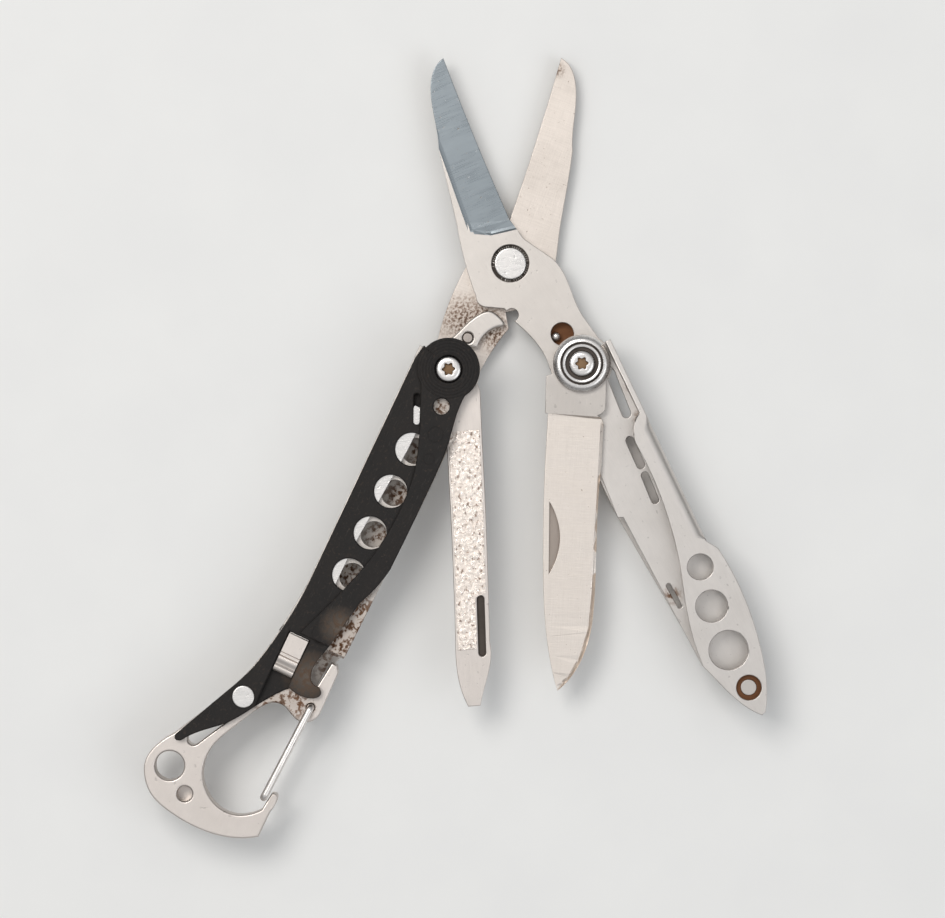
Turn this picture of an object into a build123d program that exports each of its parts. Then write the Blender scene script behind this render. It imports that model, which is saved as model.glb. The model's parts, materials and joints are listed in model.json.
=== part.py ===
from build123d import *
from math import atan2, cos, degrees, radians, sin
import os

# Folding key-ring multi-tool, lying flat on its back plates with the scissors open.
# Millimetres.  Z is the thickness, +Y runs up the middle of the open scissors.

# ---------------------------------------------------------------- driving sizes
pivot_radius = 16.9          # scissor rivet to each handle pivot
pivot_half_angle = 32.6      # each handle pivot off the centre line
blade_half_angle = 17.6      # each scissor blade off the centre line when open
right_splay = 22.9           # right handle off straight down
left_splay = 27.9            # left handle off straight down
knife_angle = -96.6          # knife direction
file_angle = -88.4           # nail file direction

sheet = 0.7                  # web and front wall of the folded handle sheet
back_sheet = 0.8             # back plate of the handle sheet
spine = 0.75                 # folded edge of the handle sheet
blade_thickness = 1.45       # each scissor blade
knife_thickness = 1.4
file_thickness = 1.2
slip = 0.1                   # gap between neighbouring layers
blade_slip = 0.05            # gap between the two scissor blades
scale_thickness = 1.6        # moulded handle cover
scale_floor = 0.25           # floor under the tweezer pocket
cover_inset = 0.12           # steel left showing along the cover's outer edge
scale_step = 0.35            # the cover's outer side is this much lower

post_radius = 1.5            # handle pivot post
rivet_radius = 1.3           # scissor rivet shank
lever_pin_radius = 0.65
gate_wire = 1.0              # wire gate diameter
running_fit = 0.05           # radial clearance of every turning hole
hub_radius = 3.4             # handle sheet around its pivot
tang_radius = 4.3            # blade tang around a handle pivot
knife_hub_radius = 3.6
file_hub_radius = 3.5
washer_radius = 2.9
small_washer_radius = 2.6
ring_radius = 3.95           # stepped steel ring over the knife pivot
screw_radius = 1.82
socket_radius = 0.82
scale_hub_radius = 4.27
rivet_head_radius = 2.2
head_gap = 0.4               # open groove round the scissor rivet head
tab_start, tab_end = 7.0, 20.5   # rear fold of each handle, measured from its pivot
spine_start = -1.3           # front fold of each handle starts here
half_width = 4.9             # handle centre line to its outer edge
tab_width = 4.6              # handle centre line to the outside of the rear fold
lanyard_radius = 2.0
tweezer_width = 2.8
tweezer_leaf = 0.28
pocket_slack = 0.1

# ---------------------------------------------------------------- layer heights
blade_b_z = back_sheet + slip
blade_a_z = blade_b_z + blade_thickness + blade_slip
web_z = blade_a_z + blade_thickness + slip
web_top = web_z + sheet
knife_z = web_top + slip
file_z = knife_z + knife_thickness + slip
wall_z = file_z + file_thickness + slip
wall_top = wall_z + sheet
scale_top = wall_top + scale_thickness
blade_b_top = blade_b_z + blade_thickness
blade_a_top = blade_a_z + blade_thickness
knife_top = knife_z + knife_thickness
file_top = file_z + file_thickness
pocket_floor = wall_top + scale_floor
tweezer_z = pocket_floor + 0.05
tweezer_top = tweezer_z + 2 * tweezer_leaf + 0.04
pocket_roof = tweezer_top + 0.05

# ---------------------------------------------------------------- pivots
right_x = pivot_radius * sin(radians(pivot_half_angle))
pivot_y = -pivot_radius * cos(radians(pivot_half_angle))
right_pivot = (right_x, pivot_y)
left_pivot = (-right_x, pivot_y)


def outline(start, *runs):
    """Closed face; each run of points is a line, or a spline where it has more than one."""
    edges = []
    point = start
    for run in runs:
        points = [point, *run]
        edges.append(Line(*points) if len(points) == 2 else Spline(*points))
        point = points[-1]
    if point != start:
        edges.append(Line(point, start))
    return make_face(edges)


def slab(face, low, high):
    return extrude(Plane.XY.offset(low) * face, high - low)


def disc(x, y, radius, low, high):
    return Location((x, y, low)) * Cylinder(
        radius, high - low, align=(Align.CENTER, Align.CENTER, Align.MIN)
    )


def bar(x0, x1, y0, y1, low, high):
    return Location((x0, y0, low)) * Box(
        x1 - x0, y1 - y0, high - low, align=(Align.MIN, Align.MIN, Align.MIN)
    )


def capsule(start, end, radius, low, high):
    run = Vector(*end) - Vector(*start)
    middle = (Vector(*start) + Vector(*end)) / 2
    slot = SlotCenterToCenter(run.length, 2 * radius)
    turn = degrees(atan2(run.Y, run.X))
    return slab(Pos(middle.X, middle.Y) * Rot(0, 0, turn) * slot, low, high)


def on_right(part):
    """Handle frame (X along the handle, Y outwards) to the right handle's place."""
    return Location((right_x, pivot_y, 0), (0, 0, right_splay - 90)) * part


def on_left(part):
    mirrored = mirror(part, about=Plane.XZ)
    return Location((-right_x, pivot_y, 0), (0, 0, -left_splay - 90)) * mirrored


def on_knife(part):
    return Location((right_x, pivot_y, 0), (0, 0, knife_angle)) * part


def on_file(part):
    return Location((-right_x, pivot_y, 0), (0, 0, file_angle)) * part


parts = {}

# ---------------------------------------------------------------- scissors
tang_left = right_x - tang_radius
front_face = outline(
    (-7.9, 28.6),
    [(-9.3, 27.0), (-9.8, 25.0), (-9.6, 21.0), (-9.1, 16.2)],
    [(-7.1, 5.7)],
    [(-6.1, -0.1), (-4.9, -4.3)],
    [(-4.6, -5.3), (-3.8, -5.8)],
    [(-1.1, -6.15)],
    [(0.5, -8.25)],
    [(2.1, -9.85), (3.8, -12.2), (tang_left, pivot_y - 0.6)],
    [(right_x, pivot_y)],
    [(right_x + 2.6, pivot_y + 3.4)],
    [(9.6, -7.6)],
    [(8.3, -4.4), (7.1, -1.3), (5.8, 0.4)],
    [(2.0, 3.3)],
    [(0.2, 6.0)],
    [(-4.0, 17.2), (-7.9, 28.6)],
)
front_blade = slab(front_face, blade_a_z, blade_a_top)
front_blade += disc(*right_pivot, tang_radius, blade_a_z, blade_a_top)
front_blade -= disc(*right_pivot, post_radius + running_fit, 0, web_top)
front_blade -= disc(0, 0, rivet_radius, 0, web_top)
front_blade -= disc(0, 0, rivet_head_radius + head_gap, blade_a_top - 0.75, web_top)
front_blade -= disc(-0.1, -7.1, 0.92, 0, web_top)
detent = (6.7, -10.0)
front_blade -= disc(*detent, 1.58, 0, web_top)
parts["front_scissor_blade"] = front_blade

rear_face = outline(
    (8.3, 28.0),
    [(9.6, 26.6), (10.1, 24.7), (9.9, 20.5), (9.3, 15.1)],
    [(8.4, 10.5), (6.9, 3.6), (5.9, -1.4), (4.0, -4.7), (1.4, -6.1), (-0.9, -6.6)],
    [(-0.6, -8.9)],
    [(-2.7, -11.4), (-right_x + tang_radius, pivot_y - 0.4)],
    [(-right_x, pivot_y)],
    [(-right_x - 1.4, pivot_y + 4.1)],
    [(-8.4, -4.4), (-6.0, 0.0)],
    [(-4.6, 3.4), (-2.2, 5.4), (0.2, 6.0)],
    [(4.0, 15.8), (8.3, 28.0)],
)
rear_blade = slab(rear_face, blade_b_z, blade_b_top)
rear_blade += disc(*left_pivot, tang_radius, blade_b_z, blade_b_top)
rear_blade -= disc(*left_pivot, post_radius + running_fit, 0, web_top)
rear_blade -= disc(0, 0, rivet_radius + running_fit, 0, web_top)
rear_blade -= disc(0, 0, rivet_head_radius + 0.1, 0, blade_b_z + 0.6)
lever_pin = (-6.3, -9.95)
rear_blade -= disc(*lever_pin, lever_pin_radius, 0, web_top)
parts["rear_scissor_blade"] = rear_blade

rivet = disc(0, 0, rivet_radius, blade_b_z + 0.05, blade_a_top - 0.75)
rivet += disc(0, 0, rivet_head_radius, blade_a_top - 0.75, blade_a_top - 0.05)
rivet += disc(0, 0, rivet_head_radius, blade_b_z, blade_b_z + 0.55)
parts["scissor_rivet"] = rivet

leaf = disc(*detent, 1.9, blade_a_z - 0.6, blade_a_z)
parts["detent_leaf"] = leaf
ball_radius = 0.62
ball_place = Location((detent[0] - 0.85, detent[1] - 0.3, blade_a_z + ball_radius))
parts["detent_ball"] = ball_place * Sphere(ball_radius)

lever_face = outline(
    (-8.6, -9.9),
    [(-6.2, -7.8), (-4.5, -6.7), (-3.1, -6.4), (-2.2, -6.9), (-1.3, -7.9)],
    [(-1.2, -8.3), (-1.8, -8.6)],
    [(-3.1, -9.0), (-4.3, -10.0), (-5.0, -11.3)],
    [(-6.9, -11.2)],
)
lever = slab(lever_face, blade_a_z + 0.05, blade_a_top - 0.05)
lever -= disc(*lever_pin, lever_pin_radius + running_fit, 0, web_top)
parts["spring_lever"] = lever
parts["lever_pin"] = disc(*lever_pin, lever_pin_radius, blade_b_z, blade_a_top - 0.05)

# ---------------------------------------------------------------- right handle
right_outline = outline(
    (spine_start, half_width),
    [(29.2, half_width)],
    [(30.7, 5.9)],
    [(35.1, 6.3), (40.5, 6.1), (46.0, 5.2), (50.1, 4.0), (53.7, 2.1)],
    [(53.9, 1.5)],
    [(51.2, -0.4), (47.4, -1.9), (44.5, -2.9)],
    [(21.5, -3.9)],
    [(21.2, -tab_width)],
    [(2.0, -tab_width + 1.2)],
    [(spine_start, 0)],
)
right_open = outline(
    (9.4, half_width + 1),
    [(9.4, 4.3)],
    [(10.1, 3.2), (11.2, 2.4), (13.1, 1.9)],
    [(18.5, 2.0), (26.0, 1.2), (30.5, 0.2), (35.7, -1.4), (39.9, -2.4), (44.5, -2.9)],
    [(60, -8)],
    [(60, 12)],
)


def spine_wall(face, low, high, end):
    """The folded outer edge: the outline less a copy moved in by the sheet."""
    wall = slab(face, low, high) - Pos(0, -spine) * slab(face, low - 1, high + 1)
    return wall & bar(spine_start, end, 1.0, 20, low, high)


def rear_fold(end_height):
    fold = bar(tab_start, tab_end, -tab_width, -tab_width + spine, back_sheet / 2, end_height)
    return fillet(fold.edges().filter_by(Axis.Z), 0.3)


web = slab(right_outline, web_z, web_top)
web -= bar(-5, 1.9, -8, half_width - spine - 0.9, 0, 12)
web += disc(0, 0, hub_radius, web_z, web_top)
front_wall = slab(right_outline, wall_z, wall_top) & slab(right_open, wall_z, wall_top)
right_back = outline(
    (0, hub_radius - 0.6),
    [(3.0, 1.9), (10.5, 1.9)],
    [(13.0, half_width - 0.4)],
    [(29.2, half_width - 0.4)],
    [(35.1, 5.6), (40.5, 5.5), (46.0, 4.6), (50.1, 3.4), (53.0, 1.7)],
    [(51.0, -0.2), (47.4, -1.6), (44.5, -2.6)],
    [(tab_end, -tab_width + 0.1)],
    [(tab_start, -tab_width + 0.1)],
    [(2.0, -hub_radius + 0.6)],
)
back = slab(right_back, 0, back_sheet) + disc(0, 0, hub_radius, 0, back_sheet)
right_frame = web + front_wall + back
right_frame += spine_wall(right_outline, web_z, wall_top, 47)
right_frame += rear_fold(web_z + sheet / 2)
right_frame -= disc(0, 0, post_radius, -1, 12)
right_frame -= capsule((2.9, 3.05), (8.8, 2.65), 0.6, web_z - 1, web_top + 1)
right_frame -= capsule((12.4, 1.5), (16.0, 1.4), 0.55, web_z - 1, web_top + 1)
right_frame -= capsule((17.6, 1.3), (21.2, 1.1), 0.5, web_z - 1, web_top + 1)
right_frame -= capsule((32.6, -2.3), (35.8, -2.1), 0.3, web_z - 1, web_top + 1)
tail_hole = (49.7, 1.5)
for x, y, radius in ((32.0, 2.6, 1.77), (37.5, 1.7, 2.2), (43.9, 1.2, 2.69), (*tail_hole, 1.72)):
    right_frame -= disc(x, y, radius, web_top + 0.5, 12)
tail_rivet_radius = 1.1
right_frame -= disc(*tail_hole, tail_rivet_radius, -1, web_top + 1)
parts["right_handle_frame"] = on_right(right_frame)

ring_z = knife_top + 0.05
ring_top = ring_z + 1.25
ring_bore_floor = ring_top - 0.55
parts["right_pivot_post"] = on_right(disc(0, 0, post_radius, 0, ring_bore_floor))
ring = disc(0, 0, ring_radius, ring_z, ring_top)
ring = chamfer(ring.edges().group_by(Axis.Z)[-1], 0.55)
ring -= disc(0, 0, 2.95, ring_top - 0.45, 12) - disc(0, 0, 2.62, 0, 12)
ring -= disc(0, 0, 2.3, ring_bore_floor, 12)
ring -= disc(0, 0, post_radius, 0, 12)
parts["right_pivot_ring"] = on_right(ring)


def socket(depth, top):
    """Six-lobed driver socket."""
    cut = disc(0, 0, socket_radius * 0.78, top - depth, top + 1)
    for step in range(6):
        lobe = disc(socket_radius * 0.72, 0, socket_radius * 0.26, top - depth, top + 1)
        cut += Rot(0, 0, 60 * step) * lobe
    return cut


def screw(seat, top):
    head = disc(0, 0, screw_radius, seat, top)
    head = fillet(head.edges().group_by(Axis.Z)[-1], 0.28)
    return head - socket(0.5, top)


parts["right_pivot_screw"] = on_right(screw(ring_bore_floor, ring_top + 0.15))
parts["right_rear_washer"] = on_right(
    disc(0, 0, washer_radius, back_sheet, blade_a_z - 0.05) - disc(0, 0, post_radius, 0, 12)
)
front_spacer = disc(*tail_hole, 2.3, web_top, wall_z) - disc(*tail_hole, tail_rivet_radius, 0, 12)
parts["right_tail_spacer"] = on_right(front_spacer)
rear_spacer = disc(*tail_hole, 2.3, back_sheet, web_z) - disc(*tail_hole, tail_rivet_radius, 0, 12)
parts["right_rear_spacer"] = on_right(rear_spacer)
parts["right_tail_rivet"] = on_right(disc(*tail_hole, tail_rivet_radius, 0, wall_z))

# ---------------------------------------------------------------- knife
knife_face = outline(
    (2.0, -4.7),
    [(7.1, -4.5)],
    [(7.1, -4.1)],
    [(18.1, -3.9), (27.0, -3.4), (33.5, -2.8), (39.0, -1.9), (44.9, -0.2)],
    [(42.8, 1.6), (39.9, 3.0), (36.5, 3.8), (32.5, 4.0), (25.2, 3.8), (14.0, 3.7)],
    [(8.4, 3.6)],
    [(7.2, 3.1), (6.9, 2.6)],
    [(6.6, 3.3), (5.7, 3.7)],
    [(1.0, 3.5)],
    [(0, 0)],
)
knife = slab(knife_face, knife_z, knife_top)
knife += disc(0, 0, knife_hub_radius, knife_z, knife_top)
knife -= disc(0, 0, post_radius + running_fit, 0, 12)
nick = outline((19.1, -3.1), [(29.1, -2.5)], [(24.2, -1.3), (19.1, -3.1)])
knife -= slab(nick, knife_top - 0.45, knife_top + 1)
parts["knife_blade"] = on_knife(knife)

# ---------------------------------------------------------------- left handle
left_outline = outline(
    (spine_start, half_width + 0.05),
    [(34.5, half_width + 0.05)],
    [(38.0, 5.2), (44.4, 6.1), (49.4, 7.3), (52.6, 8.6)],
    [(54.2, 8.0), (54.4, 6.5), (52.6, 4.4)],
    [(49.5, 3.0), (47.6, -2.2)],
    [(42.2, -2.4)],
    [(42.0, -3.9)],
    [(21.5, -4.2)],
    [(21.2, -tab_width)],
    [(2.0, -tab_width + 1.2)],
    [(spine_start, 0)],
)
left_web = slab(left_outline, web_z, web_top)
left_web -= bar(-5, 1.9, -8, half_width - spine - 0.9, 0, 12)
left_web += disc(0, 0, hub_radius, web_z, web_top)
left_wall_face = outline(
    (spine_start, half_width + 0.05),
    [(34.5, half_width + 0.05)],
    [(38.0, 5.2), (42.0, 5.7)],
    [(41.6, -4.0)],
    [(28.0, -4.3)],
    [(26.0, -3.4)],
    [(2.0, -3.2)],
    [(0, 0)],
)
left_wall = slab(left_wall_face, wall_z, wall_top) + disc(0, 0, hub_radius, wall_z, wall_top)
left_back = outline(
    (0, hub_radius - 0.4),
    [(4.0, half_width - 0.4)],
    [(34.5, half_width - 0.4)],
    [(38.0, 4.8), (44.4, 5.6), (49.4, 6.9), (52.4, 8.2)],
    [(54.0, 7.6), (54.0, 6.2), (52.4, 4.6)],
    [(49.0, 3.0), (46.6, -1.8)],
    [(42.0, -3.6)],
    [(tab_end, -tab_width + 0.1)],
    [(tab_start, -tab_width + 0.1)],
    [(2.0, -hub_radius + 0.6)],
)
left_back_plate = slab(left_back, 0, back_sheet) + disc(0, 0, hub_radius, 0, back_sheet)
left_frame = left_web + left_wall + left_back_plate
left_frame += spine_wall(left_outline, web_z, wall_top, 42)
left_frame += rear_fold(web_z + sheet / 2)
left_frame -= disc(0, 0, post_radius, -1, 12)
d_holes = ((12.0, -0.15), (18.4, 0.0), (24.7, 0.1), (31.1, 0.3))
d_hole_radius = 2.25
for x, y in d_holes:
    left_frame -= disc(x, y - 0.5, 1.75, web_top + 0.5, 12)
left_tail = (52.2, 6.2)
left_frame -= disc(*left_tail, tail_rivet_radius, -1, 12)
parts["left_handle_frame"] = on_left(left_frame)

# ---------------------------------------------------------------- carabiner
plate_z = web_top
plate_top = wall_top
plate_face = outline(
    (43.0, -2.7),
    [(47.2, -2.2)],
    [(47.4, 2.0)],
    [(48.2, 6.2)],
    [(53.0, 8.6), (57.0, 10.7), (60.9, 12.7)],
    [(63.4, 14.2), (66.0, 14.6), (67.9, 13.8), (69.7, 12.0), (70.8, 8.8), (71.2, 4.8),
     (70.8, 0.9), (69.8, -2.0), (68.7, -3.8)],
    [(64.9, -3.8)],
    [(63.3, -4.0), (62.5, -3.7), (62.6, -2.9)],
    [(65.2, -2.6)],
    [(66.4, -1.4), (67.3, 0.3), (67.4, 2.7), (66.3, 5.0), (64.3, 6.7), (61.9, 7.3), (59.4, 6.9),
     (56.8, 5.7), (53.8, 4.2), (52.0, 3.0), (51.2, 2.0), (51.1, 0.7), (51.7, -0.7), (52.1, -2.1)],
    [(51.3, -3.7), (50.0, -4.2)],
    [(43.9, -4.1)],
    [(43.0, -3.6)],
)
carabiner = slab(plate_face, plate_z, plate_top)
lanyard = (65.1, 11.3)
carabiner -= disc(*lanyard, lanyard_radius, 0, 12)
carabiner -= disc(67.7, 7.8, 1.05, plate_z + 0.9, 12)
carabiner -= capsule((55.8, 7.5), (60.4, 9.9), 0.85, 0, 12)
carabiner -= disc(*left_tail, tail_rivet_radius, 0, 12)
gate_pivot = (49.7, -2.7)
gate_pin_radius = gate_wire / 2
carabiner -= disc(*gate_pivot, gate_pin_radius + running_fit, 0, plate_z + 1.1)
carabiner -= disc(*gate_pivot, gate_pin_radius + running_fit, plate_top - 1.1, 12)
parts["carabiner_plate"] = on_left(carabiner)

gate_end = (63.5, -2.15)
leg_gap = 0.1
front_leg = plate_top + leg_gap + gate_wire / 2
rear_leg = plate_z - leg_gap - gate_wire / 2
gate_path = FilletPolyline(
    (*gate_pivot, plate_top - 0.9),
    (*gate_pivot, front_leg),
    (*gate_end, front_leg),
    (*gate_end, rear_leg),
    (*gate_pivot, rear_leg),
    (*gate_pivot, plate_z + 0.9),
    radius=0.55,
)
gate = sweep(Plane((*gate_pivot, plate_top - 0.9), z_dir=(0, 0, 1)) * Circle(gate_wire / 2), gate_path)
parts["wire_gate"] = on_left(gate)

# ---------------------------------------------------------------- cover and tweezers
scale_face = outline(
    (-1.5, 4.4),
    [(0.5, half_width - cover_inset)],
    [(34.5, half_width - cover_inset)],
    [(38.0, 4.95), (44.4, 5.9), (49.4, 7.2), (53.2, 8.9), (57.0, 10.65), (60.8, 12.4)],
    [(61.4, 12.1), (61.2, 11.3)],
    [(58.8, 9.3), (56.5, 6.8), (53.1, 4.4), (48.5, 1.0)],
    [(48.8, -0.6), (48.4, -2.5)],
    [(47.5, -3.2), (46.7, -2.6)],
    [(46.2, -1.1), (44.8, -0.7), (42.1, -1.2), (38.0, -2.0), (33.9, -2.7)],
    [(30.5, -4.0), (28.1, -4.5)],
    [(22.0, -4.6), (15.4, -4.6), (9.0, -4.3), (5.5, -3.7), (2.0, -3.6)],
    [(0, 0)],
)
scale = slab(scale_face, wall_top, scale_top) + disc(0, 0, scale_hub_radius, wall_top, scale_top)
seam = outline(
    (-6, 4.4),
    [(-0.9, 4.0), (3.0, 2.7), (9.0, 0.1), (15.0, -1.8), (20.2, -2.2), (26.9, -1.6), (33.5, 0.2), (41.1, 3.0)],
    [(41.1, -9)],
    [(-6, -9)],
)
raised_side = slab(seam, scale_top - scale_step, scale_top + 1)
scale_low = slab(scale_face, scale_top - scale_step, scale_top + 1) - raised_side
scale -= scale_low - disc(0, 0, scale_hub_radius, 0, 12)
side = 1.4
tip_side = 0.25
outer_side = side + tweezer_width
pocket = bar(6.0, 70, tip_side - pocket_slack, outer_side + pocket_slack, pocket_floor, pocket_roof)
scale -= pocket
scale -= bar(41.5, 70, side - pocket_slack, outer_side + pocket_slack, pocket_floor, 12)
scale -= capsule((5.2, 2.3), (8.3, 0.9), 0.42, pocket_floor, 12)
for x, y in d_holes:
    scale -= disc(x, y, d_hole_radius, 0, 12) - slab(seam, 0, 12)
scale -= disc(5.0, -1.3, 1.1, 0, 12)
scale -= disc(0, 0, screw_radius + 0.1, wall_top + 0.5, 12)
scale -= disc(0, 0, post_radius, 0, 12)
scale -= disc(*left_tail, tail_rivet_radius, 0, 12)
parts["handle_scale"] = on_left(scale)

arm_face = outline(
    (41.6, side),
    [(27.0, side)],
    [(12.5, tip_side + 0.1)],
    [(8.5, tip_side)],
    [(6.4, 1.2)],
    [(6.4, 2.0)],
    [(12.0, 3.2)],
    [(27.0, outer_side)],
    [(41.6, outer_side)],
)
lower_arm = slab(arm_face, tweezer_z, tweezer_z + tweezer_leaf)
upper_arm = slab(arm_face, tweezer_top - tweezer_leaf, tweezer_top)
parts["tweezer_arms"] = on_left(lower_arm) + on_left(upper_arm)
head = bar(41.6, 47.2, side, outer_side, tweezer_z, tweezer_top + 0.55)
head -= bar(44.5, 44.9, 0, 9, tweezer_top + 0.35, 12)
head -= bar(46.0, 46.4, 0, 9, tweezer_top + 0.35, 12)
parts["tweezer_head"] = on_left(head)

scale_rivet = disc(*left_tail, tail_rivet_radius, 0, scale_top - scale_step)
scale_rivet += disc(*left_tail, 1.5, scale_top - scale_step, scale_top)
parts["scale_rivet"] = on_left(scale_rivet)
left_spacer = disc(*left_tail, 2.0, back_sheet, web_z) - disc(*left_tail, tail_rivet_radius, 0, 12)
parts["left_rear_spacer"] = on_left(left_spacer)
parts["left_pivot_post"] = on_left(disc(0, 0, post_radius, 0, wall_top + 0.5))
parts["left_pivot_screw"] = on_left(screw(wall_top + 0.5, scale_top - 0.1))
parts["left_rear_washer"] = on_left(
    disc(0, 0, small_washer_radius, blade_a_z, web_z) - disc(0, 0, post_radius, 0, 12)
)
parts["file_washer"] = on_left(
    disc(0, 0, small_washer_radius, web_top, file_z - 0.05) - disc(0, 0, post_radius, 0, 12)
)

# ---------------------------------------------------------------- nail file
file_face = outline(
    (0.6, 2.4),
    [(1.9, 3.6), (3.2, 4.1)],
    [(9.5, 3.9)],
    [(21.0, 3.6), (37.5, 2.9)],
    [(41.4, 2.5), (42.9, 2.0), (46.1, 1.0)],
    [(46.1, -0.7)],
    [(43.3, -1.6), (40.6, -1.9), (37.1, -1.8)],
    [(20.7, -1.2), (3.0, -1.0)],
    [(0, 0)],
)
nail_file = slab(file_face, file_z, file_top)
nail_file += disc(0, 0, file_hub_radius, file_z, file_top)
nail_file -= disc(0, 0, post_radius + running_fit, 0, 12)
nail_file -= capsule((31.6, 2.05), (38.9, 1.75), 0.5, file_top - 0.5, 12)
parts["nail_file"] = on_file(nail_file)

# ---------------------------------------------------------------- place and write
boxes = [part.bounding_box() for part in parts.values()]
middle_x = (min(box.min.X for box in boxes) + max(box.max.X for box in boxes)) / 2
middle_y = (min(box.min.Y for box in boxes) + max(box.max.Y for box in boxes)) / 2
shift = Location((-middle_x, -middle_y, -min(box.min.Z for box in boxes)))
os.makedirs("parts", exist_ok=True)
for name, part in parts.items():
    export_step(shift * part, "parts/" + name + ".step")
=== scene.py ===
import json
import math

import bmesh
import bpy
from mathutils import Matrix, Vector, noise


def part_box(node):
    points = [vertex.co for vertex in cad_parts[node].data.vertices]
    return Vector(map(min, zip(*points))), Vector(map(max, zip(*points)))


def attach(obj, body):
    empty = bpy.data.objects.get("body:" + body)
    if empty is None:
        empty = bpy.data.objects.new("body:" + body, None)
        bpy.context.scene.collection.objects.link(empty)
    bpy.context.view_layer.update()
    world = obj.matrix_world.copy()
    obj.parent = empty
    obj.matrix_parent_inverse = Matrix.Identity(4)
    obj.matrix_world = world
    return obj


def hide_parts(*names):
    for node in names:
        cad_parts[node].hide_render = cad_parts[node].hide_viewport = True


# Folding key-ring multi-tool: scissors open, knife and nail file hanging between two sheet-steel handles.
# Everything is in metres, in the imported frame.

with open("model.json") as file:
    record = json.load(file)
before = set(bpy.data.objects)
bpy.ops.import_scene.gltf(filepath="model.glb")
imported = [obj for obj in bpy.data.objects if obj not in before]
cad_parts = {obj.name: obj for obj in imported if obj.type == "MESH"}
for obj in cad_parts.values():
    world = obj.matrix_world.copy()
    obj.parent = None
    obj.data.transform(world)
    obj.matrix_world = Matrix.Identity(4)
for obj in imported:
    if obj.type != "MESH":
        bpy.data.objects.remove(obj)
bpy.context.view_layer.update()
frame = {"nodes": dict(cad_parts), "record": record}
MM = 0.001
JOINTS = {joint["name"]: joint for joint in frame["record"]["behaviour"]["joints"]}


def joint_place(name):
    return Vector(JOINTS[name]["pos_m"])


def middle(node):
    low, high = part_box(node)
    return (Vector(low) + Vector(high)) / 2


def top_of(node):
    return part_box(node)[1][2]


def bottom_of(node):
    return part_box(node)[0][2]


class Lay:
    """A piece's own lengthwise (s) and sideways (w) directions in the tool's plane, in millimetres."""

    def __init__(self, origin, degrees, flip=1.0):
        angle = math.radians(degrees)
        self.angle = angle
        self.origin = Vector((origin[0], origin[1], 0.0))
        self.along = Vector((math.cos(angle), math.sin(angle), 0.0))
        self.across = Vector((-math.sin(angle), math.cos(angle), 0.0)) * flip

    def at(self, s, w, z=0.0):
        """Place of (s, w) in millimetres at height z in metres."""
        spot = self.origin + self.along * s * MM + self.across * w * MM
        return Vector((spot.x, spot.y, z))

    def find(self, spot):
        off = Vector((spot[0], spot[1], 0.0)) - self.origin
        return off.dot(self.along) / MM, off.dot(self.across) / MM


def heading(start, end):
    return math.degrees(math.atan2(end[1] - start[1], end[0] - start[0]))


scissor_pivot = joint_place("scissor_pivot")
right_pivot = joint_place("right_handle_fold")
left_pivot = joint_place("left_handle_fold")
slide_axis = JOINTS["tweezer_slide"]["axis"]
TAIL_OFFSET = 1.73            # degrees between the right handle's line and its tail rivet
BLADES = Lay(scissor_pivot, 0.0)
RIGHT = Lay(right_pivot, heading(right_pivot, middle("right_tail_rivet")) - TAIL_OFFSET)
LEFT = Lay(left_pivot, heading((0, 0), slide_axis), flip=-1.0)
KNIFE = Lay(right_pivot, -96.6)
FILE = Lay(left_pivot, -88.4)

# ------------------------------------------------------------------ materials


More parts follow.
